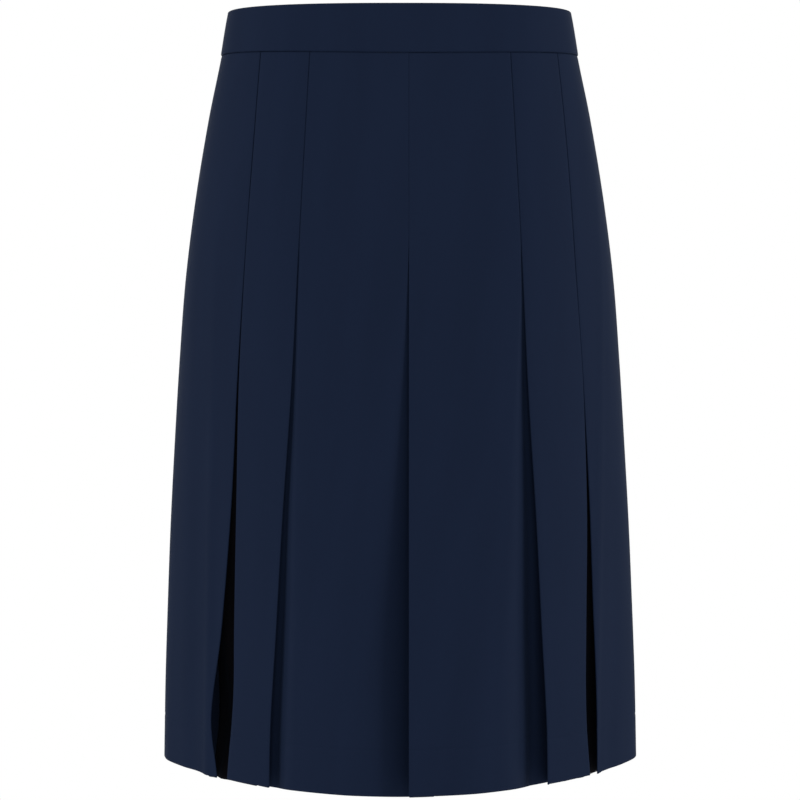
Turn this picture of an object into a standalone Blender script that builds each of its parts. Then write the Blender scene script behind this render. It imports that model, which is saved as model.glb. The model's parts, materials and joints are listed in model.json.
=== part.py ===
"""Pleated midi skirt, closed by a concealed zip at centre back, held out as a hollow worn form.

Metres, +Z up, the front faces -Y. The origin is the centre of the waist, halfway up the waistband.
Left and right are as seen from the front, so left is -X. Every cloth piece is one wall that follows
a folded path: each point of the path is a distance round the skirt and a depth inside its outline.
"""

import math
from collections import namedtuple

import bmesh
import bpy
import numpy as np
from mathutils import Matrix, Vector

# Driving sizes
BAND_TOP = 0.020
SEAM_FRONT = -0.021
SEAM_RISE_AT_SIDES = 0.004
HEM = -0.630
TURN = 0.0095
WALL = 0.0010
LAYER = 0.0014
ROUND = (LAYER + WALL) / 2
BAND_WALL = 0.0018
BAND_PROUD = 0.0008
SEAM_GAP = 0.0003
STITCHED_TO = -0.195
CENTRE_FOLD = -0.0018
KNIFE_DEPTH = 0.024
BOX_DEPTH = 0.018
SIDE_DEPTH = 0.030
UNDERLAY_MARGIN = 0.006
SLOPE_WIDTH = 0.008
CENTRE_SLOPE_PER_DIP = 1.7
INNER_SLOPE_PER_DIP = 1.8
SLOPE_BEND = 0.4
BEND_DROP = 0.22
FALL_PER_GAPE = 1.0
HEM_DROP_PER_DEPTH = 0.23
TROUGH_DROP_PER_DEPTH = 0.34
FOLD_STEPS = 4
UPPER_ROWS = (SEAM_FRONT, -0.055, -0.095, -0.145)
ROWS = UPPER_ROWS + (STITCHED_TO, -0.25, -0.31, -0.38, -0.45, -0.51, -0.56, -0.60, HEM)
BAND_COLUMNS = 48

# The concealed zip; its pull hangs from an eye on the slider's neck
ZIP_TOP = 0.0165
ZIP_END = -0.185
ZIP_SLOT = 0.0007
TAPE_WIDTH = 0.011
TAPE_WALL = 0.0006
COIL_HALF_WIDTH = 0.0022
COIL_WALL = 0.0014
SLIDER_WIDTH = 0.008
SLIDER_HEIGHT = 0.010
SLIDER_WALL = 0.0028
SLIDER_INSIDE = 0.0026
NECK_WALL = 0.0008
NECK_HEIGHT = 0.0020
EYE_RADIUS = 0.0017
EYE_HOLE = 0.0009
PULL_AXIS_Z = 0.010
PULL_AXIS_OUT = 0.0045
PIN_RADIUS = 0.0006
CHEEK_NEAR = 0.0007
CHEEK_FAR = 0.0014
CHEEK_RADIUS = 0.0015
CHEEK_LEG = 0.0032
PULL_LENGTH = 0.022
PULL_TOP = 0.0022
PULL_TOP_HALF_WIDTH = 0.0016
PULL_END_RADIUS = 0.0028
PULL_WALL = 0.0010

# The outline that the cloth follows, a row for each height
Form = namedtuple("Form", "z half_width front_depth back_depth flatness side_fullness")
FORM = (
    Form(0.020, 0.1473, 0.100, 0.100, 2.50, 2.50),
    Form(-0.018, 0.1540, 0.103, 0.104, 2.45, 2.45),
    Form(-0.071, 0.1652, 0.110, 0.115, 2.35, 2.35),
    Form(-0.141, 0.1773, 0.119, 0.128, 2.25, 2.20),
    Form(-0.210, 0.1864, 0.127, 0.136, 2.15, 2.02),
    Form(-0.280, 0.1920, 0.134, 0.142, 2.07, 1.87),
    Form(-0.350, 0.1964, 0.141, 0.147, 2.00, 1.74),
    Form(-0.421, 0.2004, 0.147, 0.151, 1.97, 1.63),
    Form(-0.492, 0.2035, 0.152, 0.156, 1.94, 1.54),
    Form(-0.560, 0.2062, 0.157, 0.160, 1.92, 1.46),
    Form(-0.630, 0.2079, 0.161, 0.163, 1.90, 1.40),
)

# The pleats, a row for each height: distances from centre front to the box panels' inner and outer edges,
# the opening beside each outer edge, and how far the cloth dips where it goes under another panel
Pleats = namedtuple(
    "Pleats", "z inner outer_left outer_right gape_left gape_right dip_centre dip_left dip_right"
)
PLEATS = (
    Pleats(-0.02, 0.0845, 0.1298, 0.1330, 0.0004, 0.0004, 0.0, 0.0, 0.0),
    Pleats(-0.10, 0.0892, 0.1362, 0.1407, 0.0004, 0.0004, 0.0, 0.0, 0.0),
    Pleats(-0.20, 0.0950, 0.1449, 0.1493, 0.0004, 0.0004, 0.0004, 0.0003, 0.0004),
    Pleats(-0.30, 0.1011, 0.1526, 0.1604, 0.0020, 0.0004, 0.0045, 0.0025, 0.0052),
    Pleats(-0.40, 0.1095, 0.1570, 0.1672, 0.0060, 0.0040, 0.0110, 0.0050, 0.0110),
    Pleats(-0.50, 0.1170, 0.1612, 0.1686, 0.0150, 0.0095, 0.0180, 0.0080, 0.0168),
    Pleats(-0.58, 0.1235, 0.1640, 0.1702, 0.0268, 0.0134, 0.0190, 0.0100, 0.0205),
    Pleats(-0.63, 0.1254, 0.1708, 0.1750, 0.0150, 0.0118, 0.0190, 0.0100, 0.0212),
)

# Depth of the middle of each layer of cloth below the outline
FACE = WALL / 2
RETURN = FACE + LAYER
UNDER = FACE + 2 * LAYER


def clear_scene():
    for obj in list(bpy.data.objects):
        bpy.data.objects.remove(obj, do_unlink=True)


def material(name, colour, roughness, metallic=0.0):
    finish = bpy.data.materials.new(name)
    finish.use_nodes = True
    shader = finish.node_tree.nodes["Principled BSDF"]
    shader.inputs["Base Color"].default_value = (*colour, 1.0)
    shader.inputs["Roughness"].default_value = roughness
    shader.inputs["Metallic"].default_value = metallic
    return finish


def row_at(table, z):
    """The table's row at height z, on a smooth curve through its rows."""
    heights = [-row.z for row in table]
    place = min(max(-z, heights[0]), heights[-1])
    last = len(table) - 1
    low = min(int(np.searchsorted(heights, place, side="right")) - 1, last - 1)
    span = heights[low + 1] - heights[low]
    t = (place - heights[low]) / span
    values = []
    for column in zip(*table):
        before, after = max(low - 1, 0), min(low + 2, last)
        slope_in = (column[low + 1] - column[before]) / (heights[low + 1] - heights[before])
        slope_out = (column[after] - column[low]) / (heights[after] - heights[low])
        values.append(
            column[low] * (1 - t) ** 2 * (1 + 2 * t)
            + slope_in * span * t * (1 - t) ** 2
            + column[low + 1] * t * t * (3 - 2 * t)
            - slope_out * span * t * t * (1 - t)
        )
    return type(table[0])(*values)


def outline(z):
    """Points from centre front round the right side to centre back, and the distance travelled to each."""
    form = row_at(FORM, z)
    angle = np.linspace(0, math.pi, 721)
    depth = np.where(angle < math.pi / 2, form.front_depth, form.back_depth)
    x = form.half_width * np.abs(np.sin(angle)) ** (2 / form.flatness)
    y = -np.sign(np.cos(angle)) * depth * np.abs(np.cos(angle)) ** (2 / form.side_fullness)
    travelled = np.concatenate([[0.0], np.cumsum(np.hypot(np.diff(x), np.diff(y)))])
    return x, y, travelled


def half_girth(z):
    return outline(z)[2][-1]


def skirt_point(z, around, depth):
    """The point `around` metres right of the skirt's centre front and `depth` inside the outline."""
    x, y, travelled = outline(z)
    full = 2 * travelled[-1]
    place = (around + TURN + full / 2) % full - full / 2
    side = -1 if place < 0 else 1
    reach = 0.002
    ends = [np.interp(abs(place) + step, travelled, line) for step in (-reach, reach) for line in (x, y)]
    along = Vector((ends[2] - ends[0], ends[3] - ends[1])).normalized()
    here = Vector((np.interp(abs(place), travelled, x), np.interp(abs(place), travelled, y)))
    here -= Vector((along.y, -along.x)) * depth
    return Vector((side * here.x, here.y, z))


def seam_height(around, girth):
    """The waist seam lies level at the front and back, and rises towards the sides."""
    return SEAM_FRONT + SEAM_RISE_AT_SIDES * math.sin(math.pi * abs(around) / girth) ** 2


def run(start, end, steps):
    """Points of a straight stretch of the path, without its last one."""
    return [tuple(a + (b - a) * step / steps for a, b in zip(start, end)) for step in range(steps)]


def fold(edge, first, second, outward):
    """Points of a folded edge, from the layer at depth `first` to the one at depth `second`."""
    radius = abs(second - first) / 2
    turn = math.copysign(1.0, second - first)
    centre = edge - outward * (radius + WALL / 2)
    points = []
    for step in range(FOLD_STEPS + 1):
        angle = math.pi * step / FOLD_STEPS
        depth = (first + second) / 2 - turn * radius * math.cos(angle)
        points.append((centre + outward * radius * math.sin(angle), depth))
    return points


def link(obj, finish):
    bpy.context.scene.collection.objects.link(obj)
    obj.data.materials.append(finish)
    return obj


def cloth_wall(name, path_at, heights, thickness, finish):
    """A wall of cloth: at each height it follows path_at(z), a list of (around, depth, height)."""
    paths = [path_at(z) for z in heights]
    columns, rows = len(paths[0]) - 1, len(paths) - 1
    mesh = bmesh.new()
    bmesh.ops.create_grid(mesh, x_segments=columns, y_segments=rows, size=0.5)
    for vert in mesh.verts:
        column = round((vert.co.x + 0.5) * columns)
        row = round((0.5 - vert.co.y) * rows)
        around, depth, z = paths[row][column]
        vert.co = skirt_point(z, around, depth)
    for face in mesh.faces:
        face.smooth = True
    data = bpy.data.meshes.new(name)
    mesh.to_mesh(data)
    mesh.free()
    data.set_sharp_from_angle(angle=math.radians(40))
    wall = link(bpy.data.objects.new(name, data), finish)
    solidify = wall.modifiers.new("Cloth thickness", "SOLIDIFY")
    solidify.thickness = thickness
    solidify.offset = 0.0
    solidify.use_even_offset = True
    return wall


def hang(points, z, side, from_back, drop=HEM_DROP_PER_DEPTH):
    """Points measured from centre front or back, as places on the skirt. Deeper layers hang lower."""
    girth = half_girth(z)
    placed = []
    for distance, depth in points:
        around = side * (girth - distance if from_back else distance)
        height = z
        if z == SEAM_FRONT:
            height = seam_height(around, girth) - SEAM_GAP
        elif z == HEM:
            height = z - drop * (depth - FACE)
        placed.append((around, depth, height))
    return placed


def outer_edges(z, side, from_back):
    """A box panel's outer edge and the opening beside it. The back mirrors the other side of the front."""
    pleats = row_at(PLEATS, z)
    if side * (-1 if from_back else 1) < 0:
        return pleats.outer_left, pleats.gape_left
    return pleats.outer_right, pleats.gape_right


def inner_dip(z, side, from_back):
    pleats = row_at(PLEATS, z)
    return pleats.dip_left if side * (-1 if from_back else 1) < 0 else pleats.dip_right


def box_panel_path(z, side, from_back):
    """A box panel: both edges are folded under, over the pieces beside it."""
    outer, gape = outer_edges(z, side, from_back)
    inner = row_at(PLEATS, z).inner
    dip = inner_dip(z, side, from_back)
    points = run((outer - BOX_DEPTH, RETURN + FALL_PER_GAPE * gape), (outer - ROUND, RETURN), 2)
    points += fold(outer, RETURN, FACE, 1)[:-1]
    points += run((outer - ROUND, FACE), (inner + ROUND, FACE), 4)
    points += fold(inner, FACE, RETURN, -1)[:-1]
    points += run((inner + ROUND, RETURN), (inner + KNIFE_DEPTH, RETURN + dip), 2)
    points.append((inner + KNIFE_DEPTH, RETURN + dip))
    return hang(points, z, side, from_back)


def slope(start, end):
    """Points of a slope that bends softly away from its start, without its last one."""
    bend = tuple(a + (b - a) * share for a, b, share in zip(start, end, (SLOPE_BEND, BEND_DROP)))
    return run(start, bend, 1) + run(bend, end, 2)


def inner_edge(inner, dip):
    """From a centre panel's face down under the box panel beside it, to the hidden seam there."""
    width = SLOPE_WIDTH + INNER_SLOPE_PER_DIP * dip
    points = slope((inner - width, FACE), (inner, UNDER + dip))
    points += run((inner, UNDER + dip), (inner + KNIFE_DEPTH, UNDER + dip), 2)
    points.append((inner + KNIFE_DEPTH, UNDER + dip))
    return points


def front_centre_path(z):
    """Left half, the knife pleat at centre front, then the right half on top of it."""
    pleats = row_at(PLEATS, z)
    left = inner_edge(pleats.inner, pleats.dip_left)
    points = [(-distance, depth) for distance, depth in reversed(left)]
    width = SLOPE_WIDTH + CENTRE_SLOPE_PER_DIP * pleats.dip_centre
    valley = (CENTRE_FOLD, UNDER + pleats.dip_centre)
    hidden = CENTRE_FOLD + KNIFE_DEPTH
    points += run(points.pop(), (CENTRE_FOLD - width, FACE), 4)
    points += slope((CENTRE_FOLD - width, FACE), valley)
    points += run(valley, (hidden - ROUND, UNDER + pleats.dip_centre), 2)
    points += fold(hidden, UNDER + pleats.dip_centre, RETURN + pleats.dip_centre, 1)[:-1]
    points += run((hidden - ROUND, RETURN + pleats.dip_centre), (CENTRE_FOLD + ROUND, RETURN), 2)
    points += fold(CENTRE_FOLD, RETURN, FACE, -1)[:-1]
    right = inner_edge(pleats.inner, pleats.dip_right)
    points += run((CENTRE_FOLD + ROUND, FACE), right[0], 4)
    points += right
    return hang(points, z, 1, False)


def back_centre_path(z, side):
    """From the centre back seam out under the back box panel."""
    pleats = row_at(PLEATS, z)
    edge = inner_edge(pleats.inner, inner_dip(z, side, True))
    return hang(run((SEAM_GAP, FACE), edge[0], 5) + edge, z, side, True)


def side_path(z, side):
    """From the front outer pleat round the side to the back outer pleat, both edges folded under."""
    girth = half_girth(z)
    front, front_gape = outer_edges(z, side, False)
    back, back_gape = outer_edges(z, side, True)
    start, end = front + front_gape, girth - back - back_gape
    hidden = (start + SIDE_DEPTH, RETURN + FALL_PER_GAPE * front_gape)
    points = [hidden] + slope((start + ROUND, RETURN), hidden)[::-1]
    points += fold(start, RETURN, FACE, -1)[1:-1]
    points += run((start + ROUND, FACE), (end - ROUND, FACE), 16)
    points += fold(end, FACE, RETURN, 1)[:-1]
    hidden = (end - SIDE_DEPTH, RETURN + FALL_PER_GAPE * back_gape)
    points += slope((end - ROUND, RETURN), hidden)
    points.append(hidden)
    return hang(points, z, side, False, TROUGH_DROP_PER_DEPTH)


def underlay_path(z, side, from_back):
    """The strip behind an outer pleat, from the box panel's hidden edge to just past the side panel's."""
    outer, gape = outer_edges(z, side, from_back)
    depth = UNDER + FALL_PER_GAPE * gape
    ends = (outer - BOX_DEPTH, depth), (outer + gape + SIDE_DEPTH + UNDERLAY_MARGIN, depth)
    return hang(run(*ends, 6) + [ends[1]], z, side, from_back, TROUGH_DROP_PER_DEPTH)


def waistband_path(level):
    """The band runs all round and meets itself at the zip."""
    middle = BAND_WALL / 2 - BAND_PROUD
    points = []
    girth = half_girth(BAND_TOP)
    for step in range(BAND_COLUMNS + 1):
        share = 2 * step / BAND_COLUMNS - 1
        below = seam_height(share * girth, girth)
        z = below + (BAND_TOP - below) * level
        points.append((share * (half_girth(z) - ZIP_SLOT), middle, z))
    return points


def zip_strip_path(z, near, far, depth):
    """A narrow strip beside or across the centre back seam."""
    girth = half_girth(z)
    return [(girth - near, depth, z), (girth - far, depth, z)]


def add_cylinder(mesh, radius, length, centre, segments):
    """A round bar along X."""
    turned = Matrix.Translation(centre) @ Matrix.Rotation(math.pi / 2, 4, "Y")
    bmesh.ops.create_cone(
        mesh, cap_ends=True, segments=segments, radius1=radius, radius2=radius, depth=length, matrix=turned
    )


def add_box(mesh, size, centre):
    bmesh.ops.create_cube(mesh, size=1.0, matrix=Matrix.Translation(centre) @ Matrix.Diagonal((*size, 1.0)))


def solid(name, build, finish=None):
    """An object from a function that fills a bmesh; without a finish it is a hidden helper."""
    mesh = bmesh.new()
    build(mesh)
    data = bpy.data.meshes.new(name)
    mesh.to_mesh(data)
    mesh.free()
    obj = bpy.data.objects.new(name, data)
    bpy.context.scene.collection.objects.link(obj)
    if finish:
        data.materials.append(finish)
    else:
        obj.hide_render = True
        obj.display_type = "WIRE"
    return obj


def combine(obj, other, operation):
    cut = obj.modifiers.new(other.name, "BOOLEAN")
    cut.operation = operation
    cut.object = other


def slider_and_pull(metal):
    """The slider inside the band, its neck through the slot, and the tab that hangs from the neck's eye."""
    surface = skirt_point(PULL_AXIS_Z, half_girth(PULL_AXIS_Z), 0.0)
    axis = surface + Vector((0, PULL_AXIS_OUT, 0))
    body_front = surface.y - SLIDER_INSIDE
    body_size = (SLIDER_WIDTH, SLIDER_WALL, SLIDER_HEIGHT)
    body_centre = (axis.x, body_front - SLIDER_WALL / 2, axis.z)
    stem_start = body_front - SLIDER_WALL / 2
    stem_size = (NECK_WALL, axis.y - stem_start, NECK_HEIGHT)
    stem_centre = (axis.x, (axis.y + stem_start) / 2, axis.z)
    slider = solid("zip_slider", lambda mesh: add_box(mesh, body_size, body_centre), metal)
    stem = solid("slider_stem", lambda mesh: add_box(mesh, stem_size, stem_centre))
    ring = solid("slider_eye", lambda mesh: add_cylinder(mesh, EYE_RADIUS, NECK_WALL, axis, 20))
    bore = solid("slider_bore", lambda mesh: add_cylinder(mesh, EYE_HOLE, 3 * NECK_WALL, axis, 16))
    combine(slider, stem, "UNION")
    combine(slider, ring, "UNION")
    combine(slider, bore, "DIFFERENCE")

    pull = solid("zip_pull", lambda mesh: tab_plate(mesh, axis), metal)
    cheek_wall = CHEEK_FAR - CHEEK_NEAR
    for side in (-1, 1):
        middle = axis + Vector((side * (CHEEK_NEAR + CHEEK_FAR) / 2, 0, 0))
        leg_size = (cheek_wall, 1.6 * PULL_WALL, CHEEK_LEG)
        leg_centre = middle - Vector((0, 0, CHEEK_LEG / 2))
        leg = solid("pull_leg", lambda mesh: add_box(mesh, leg_size, leg_centre))
        disc = solid("pull_cheek", lambda mesh: add_cylinder(mesh, CHEEK_RADIUS, cheek_wall, middle, 16))
        combine(pull, leg, "UNION")
        combine(pull, disc, "UNION")
    pin_length = 2 * CHEEK_NEAR + cheek_wall
    pin = solid("pull_pin", lambda mesh: add_cylinder(mesh, PIN_RADIUS, pin_length, axis, 12))
    combine(pull, pin, "UNION")


def tab_plate(mesh, axis):
    """The tab's plate, hanging below its axis: narrow at its neck, round at its end."""
    end_centre = PULL_LENGTH - PULL_END_RADIUS
    corners = [(-PULL_TOP_HALF_WIDTH, PULL_TOP)]
    for degrees in range(-20, 201, 20):
        angle = math.radians(degrees)
        corners.append((-PULL_END_RADIUS * math.cos(angle), end_centre + PULL_END_RADIUS * math.sin(angle)))
    corners.append((PULL_TOP_HALF_WIDTH, PULL_TOP))
    verts = [mesh.verts.new(axis + Vector((x, -PULL_WALL / 2, -down))) for x, down in corners]
    face = mesh.faces.new(verts)
    grown = bmesh.ops.extrude_face_region(mesh, geom=[face])
    moved = [item for item in grown["geom"] if isinstance(item, bmesh.types.BMVert)]
    bmesh.ops.translate(mesh, verts=moved, vec=(0, PULL_WALL, 0))
    bmesh.ops.recalc_face_normals(mesh, faces=mesh.faces)


def build_skirt():
    cloth = material("navy cloth", (0.011, 0.018, 0.036), 0.75)
    underlay = material("black underlay", (0.0060, 0.0056, 0.0076), 0.80)
    band = material("navy band", (0.011, 0.017, 0.035), 0.75)
    tape = material("navy tape", (0.010, 0.014, 0.028), 0.85)
    nylon = material("navy nylon", (0.010, 0.014, 0.030), 0.40)
    metal = material("navy lacquer", (0.010, 0.015, 0.032), 0.30, 0.4)

    band_levels = (1.0, 0.5, SEAM_GAP / (BAND_TOP - SEAM_FRONT))
    cloth_wall("waistband", waistband_path, band_levels, BAND_WALL, band)
    cloth_wall("front_centre", front_centre_path, ROWS, WALL, cloth)
    for side, hand in ((-1, "left"), (1, "right")):
        cloth_wall(f"side_{hand}", lambda z: side_path(z, side), ROWS, WALL, cloth)
        cloth_wall(f"back_centre_{hand}", lambda z: back_centre_path(z, side), ROWS, WALL, cloth)
        for from_back, face in ((False, "front"), (True, "back")):
            box_path = lambda z: box_panel_path(z, side, from_back)
            cloth_wall(f"{face}_box_{hand}", box_path, ROWS, WALL, cloth)
            under_path = lambda z: underlay_path(z, side, from_back)
            cloth_wall(f"{face}_underlay_{hand}", under_path, ROWS, WALL, underlay)

    tape_depth = WALL + SEAM_GAP + TAPE_WALL / 2
    coil_depth = WALL + 2 * SEAM_GAP + TAPE_WALL + COIL_WALL / 2
    tape_rows = (ZIP_TOP, 0.0) + UPPER_ROWS + (ZIP_END,)
    for side, hand in ((-1, "left"), (1, "right")):
        edges = (side * ZIP_SLOT, side * (ZIP_SLOT + TAPE_WIDTH))
        strip = lambda z: zip_strip_path(z, *edges, tape_depth)
        cloth_wall(f"zip_tape_{hand}", strip, tape_rows, TAPE_WALL, tape)
    coil_top = PULL_AXIS_Z - SLIDER_HEIGHT / 2 - SEAM_GAP
    coil_rows = (coil_top, 0.0) + UPPER_ROWS + (ZIP_END,)
    strip = lambda z: zip_strip_path(z, COIL_HALF_WIDTH, -COIL_HALF_WIDTH, coil_depth)
    cloth_wall("zip_coil", strip, coil_rows, COIL_WALL, nylon)
    slider_and_pull(metal)


clear_scene()
build_skirt()
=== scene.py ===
import json
import math
from collections import namedtuple

import bmesh
import bpy
import numpy as np
from mathutils import Matrix, Vector


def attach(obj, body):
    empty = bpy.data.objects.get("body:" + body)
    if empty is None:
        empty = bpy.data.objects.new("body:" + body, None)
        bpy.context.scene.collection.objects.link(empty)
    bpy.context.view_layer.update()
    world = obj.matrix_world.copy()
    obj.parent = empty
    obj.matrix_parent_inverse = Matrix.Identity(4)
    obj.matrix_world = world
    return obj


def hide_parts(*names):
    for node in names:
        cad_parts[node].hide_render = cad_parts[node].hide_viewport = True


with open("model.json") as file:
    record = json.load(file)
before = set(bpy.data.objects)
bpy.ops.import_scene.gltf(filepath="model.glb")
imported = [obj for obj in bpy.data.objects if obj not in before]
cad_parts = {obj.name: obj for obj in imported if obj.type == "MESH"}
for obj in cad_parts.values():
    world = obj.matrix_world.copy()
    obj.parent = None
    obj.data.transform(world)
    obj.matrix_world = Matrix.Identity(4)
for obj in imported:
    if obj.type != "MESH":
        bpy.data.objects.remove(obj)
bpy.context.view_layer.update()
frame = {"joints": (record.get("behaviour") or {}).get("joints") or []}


# The camera stands two metres in front of the skirt, level with its hips, and looks slightly down.
# Its lens fills a square frame with the skirt from waist to hem.
FRAME_PX = 800
FOCAL_PX = 2402.6
SENSOR_MM = 36.0
CAMERA_DISTANCE = 2.1
CAMERA_SIDE = 0.0004
CAMERA_HEIGHT = -0.175
CAMERA_PITCH = math.radians(3.82)

lens = bpy.data.cameras.new("studio_camera")
lens.sensor_width = SENSOR_MM
lens.lens = FOCAL_PX * SENSOR_MM / FRAME_PX
camera = bpy.data.objects.new("studio_camera", lens)
camera.location = (CAMERA_SIDE, -CAMERA_DISTANCE, CAMERA_HEIGHT)
camera.rotation_euler = (math.pi / 2 - CAMERA_PITCH, 0, 0)
bpy.context.scene.collection.objects.link(camera)
bpy.context.scene.camera = camera


# The studio: white air behind, a pale platform where a wearer's feet would be, and tall soft boxes.
# Two boxes stand at the front corners, so a surface that turns away into a pleat falls into soft shade.
# Two narrow ones stand behind the sides, whose edges they pick out against the white.
PLATFORM_DROP = 1.02
PLATFORM_RADIUS = 1.3
AIR_LIGHT = 0.30
SoftBox = namedtuple("SoftBox", "name place width height watts")
SOFT_BOXES = (
    SoftBox("left_box", (-2.5, -1.0, 0.3), 1.3, 2.2, 25.0),
    SoftBox("right_box", (2.65, -0.45, 0.3), 1.2, 2.2, 28.0),
    SoftBox("front_box", (0.1, -2.6, 1.1), 1.5, 1.6, 27.0),
    SoftBox("left_rim", (-2.1, 0.5, 0.0), 0.4, 2.2, 6.0),
    SoftBox("right_rim", (2.1, 0.5, 0.0), 0.4, 2.2, 5.0),
    SoftBox("back_box", (0.0, 2.6, -0.1), 4.0, 2.6, 30.0),
)

scene = bpy.context.scene
scene.view_settings.view_transform = "Standard"
world = bpy.data.worlds.new("white_air")
world.use_nodes = True
air = world.node_tree.nodes["Background"]
air.inputs["Color"].default_value = (1.0, 1.0, 1.0, 1.0)
seen = world.node_tree.nodes.new("ShaderNodeLightPath")
strength = world.node_tree.nodes.new("ShaderNodeMapRange")
strength.inputs["To Min"].default_value = AIR_LIGHT
strength.inputs["To Max"].default_value = 1.0
world.node_tree.links.new(seen.outputs["Is Camera Ray"], strength.inputs["Value"])
world.node_tree.links.new(strength.outputs["Result"], air.inputs["Strength"])
scene.world = world

disc = bmesh.new()
bmesh.ops.create_circle(
    disc,
    cap_ends=True,
    segments=96,
    radius=PLATFORM_RADIUS,
    matrix=Matrix.Translation((0, 0, -PLATFORM_DROP)),
)
floor_mesh = bpy.data.meshes.new("floor")
disc.to_mesh(floor_mesh)
disc.free()
floor = bpy.data.objects.new("floor", floor_mesh)
scene.collection.objects.link(floor)
paint = bpy.data.materials.new("white_floor")
paint.use_nodes = True
paint.node_tree.nodes["Principled BSDF"].inputs["Base Color"].default_value = (0.88, 0.88, 0.88, 1.0)
paint.node_tree.nodes["Principled BSDF"].inputs["Roughness"].default_value = 0.9
floor_mesh.materials.append(paint)

for box in SOFT_BOXES:
    light = bpy.data.lights.new(box.name, "AREA")
    light.shape = "RECTANGLE"
    light.size, light.size_y = box.width, box.height
    light.energy = box.watts
    lamp = bpy.data.objects.new(box.name, light)
    lamp.location = box.place
    aim = Vector((0, 0, -0.3)) - Vector(box.place)
    lamp.rotation_euler = aim.to_track_quat("-Z", "Y").to_euler()
    lamp.visible_camera = False
    scene.collection.objects.link(lamp)


# The waistband: a strip of the crepe pressed double over a firm inner layer, 41 mm deep at the front.
# It runs all round, stands a little proud of the skirt and meets itself at the zip.
BAND_TOP = 0.020
SEAM_FRONT = -0.021
SEAM_RISE_AT_SIDES = 0.004
SEAM_FADE = 0.06
HEM = -0.630
TURN = 0.0095
BAND_PROUD = 0.0008
BAND_INSIDE = 0.0010
BAND_CROWN = 0.0003
BAND_TUCK = 0.0007
BAND_HEIGHT = 0.04
BAND_COLUMNS = 300
BAND_ROUND_STEPS = 7
ZIP_SLOT = 0.0007
SEAM_GAP = 0.0003
NAVY = (0.0098, 0.0171, 0.0408)

# The outline that the cloth follows, a row for each height
Form = namedtuple("Form", "z half_width front_depth back_depth flatness side_fullness")
FORM = (
    Form(0.020, 0.1473, 0.100, 0.100, 2.50, 2.50),
    Form(-0.018, 0.1540, 0.103, 0.104, 2.45, 2.45),
    Form(-0.071, 0.1652, 0.110, 0.115, 2.35, 2.35),
    Form(-0.141, 0.1773, 0.119, 0.128, 2.25, 2.20),
    Form(-0.210, 0.1864, 0.127, 0.136, 2.15, 2.02),
    Form(-0.280, 0.1920, 0.134, 0.142, 2.07, 1.87),
    Form(-0.350, 0.1964, 0.141, 0.147, 2.00, 1.74),
    Form(-0.421, 0.2004, 0.147, 0.151, 1.97, 1.63),
    Form(-0.492, 0.2035, 0.152, 0.156, 1.94, 1.54),
    Form(-0.560, 0.2062, 0.157, 0.160, 1.92, 1.46),
    Form(-0.630, 0.2079, 0.161, 0.163, 1.90, 1.40),
)

OUTLINE_POINTS = 1441

# Soft troughs (positive depths) and ridges (negative) of the hanging cloth, from the front round each side
SoftFold = namedtuple("SoftFold", "start_around end_around start_z end_z width depth")
SOFT_FOLDS = (
    SoftFold(0.045, 0.055, -0.30, -0.66, 0.020, -0.0012),
    SoftFold(-0.050, -0.055, -0.28, -0.66, 0.018, -0.0008),
    SoftFold(-0.170, -0.199, -0.01, -0.66, 0.006, -0.0022),
    SoftFold(-0.190, -0.220, -0.06, -0.66, 0.012, 0.0016),
    SoftFold(0.186, 0.182, -0.02, -0.66, 0.006, -0.0020),
    SoftFold(0.212, 0.208, -0.12, -0.66, 0.013, 0.0012),
    SoftFold(0.248, 0.262, -0.20, -0.66, 0.018, -0.0018),
    SoftFold(-0.262, -0.268, -0.16, -0.66, 0.016, -0.0016),
    SoftFold(-0.300, -0.318, -0.24, -0.66, 0.017, 0.0014),
    SoftFold(0.304, 0.312, -0.28, -0.66, 0.015, 0.0012),
    SoftFold(0.395, 0.425, -0.26, -0.66, 0.019, -0.0014),
    SoftFold(-0.405, -0.440, -0.30, -0.66, 0.017, -0.0012),
)


def row_at(table, z):
    """The table's row at height z, on a smooth curve through its rows."""
    heights = [-row.z for row in table]
    place = min(max(-z, heights[0]), heights[-1])
    last = len(table) - 1
    low = min(int(np.searchsorted(heights, place, side="right")) - 1, last - 1)
    span = heights[low + 1] - heights[low]
    t = (place - heights[low]) / span
    values = []
    for column in zip(*table):
        before, after = max(low - 1, 0), min(low + 2, last)
        slope_in = (column[low + 1] - column[before]) / (heights[low + 1] - heights[before])
        slope_out = (column[after] - column[low]) / (heights[after] - heights[low])
        values.append(
            column[low] * (1 - t) ** 2 * (1 + 2 * t)
            + slope_in * span * t * (1 - t) ** 2
            + column[low + 1] * t * t * (3 - 2 * t)
            - slope_out * span * t * t * (1 - t)
        )
    return type(table[0])(*values)


def outline_lines(z, shares):
    """x and y of the outline at height z, at even shares of the way from centre front to centre back."""
    form = row_at(FORM, z)
    angle = np.linspace(0, math.pi, OUTLINE_POINTS)
    depth = np.where(angle < math.pi / 2, form.front_depth, form.back_depth)
    x = form.half_width * np.abs(np.sin(angle)) ** (2 / form.flatness)
    y = -np.sign(np.cos(angle)) * depth * np.abs(np.cos(angle)) ** (2 / form.side_fullness)
    travelled = np.concatenate([[0.0], np.cumsum(np.hypot(np.diff(x), np.diff(y)))])
    places = shares * travelled[-1]
    return np.interp(places, travelled, x), np.interp(places, travelled, y), travelled[-1]


# The outline is worked out once, on a fine grid that reaches a little past the band and the hem
LEVELS = np.linspace(BAND_TOP + 0.004, HEM - 0.012, 160)
SHARES = np.linspace(0, 1, 901)
surface = [outline_lines(z, SHARES) for z in LEVELS]
FORM_X = np.array([line[0] for line in surface])
FORM_Y = np.array([line[1] for line in surface])
GIRTHS = np.array([line[2] for line in surface])


def half_girth(z):
    """How far it is round the skirt from centre front to centre back at height z."""
    return float(np.interp(-z, -LEVELS, GIRTHS))


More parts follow.
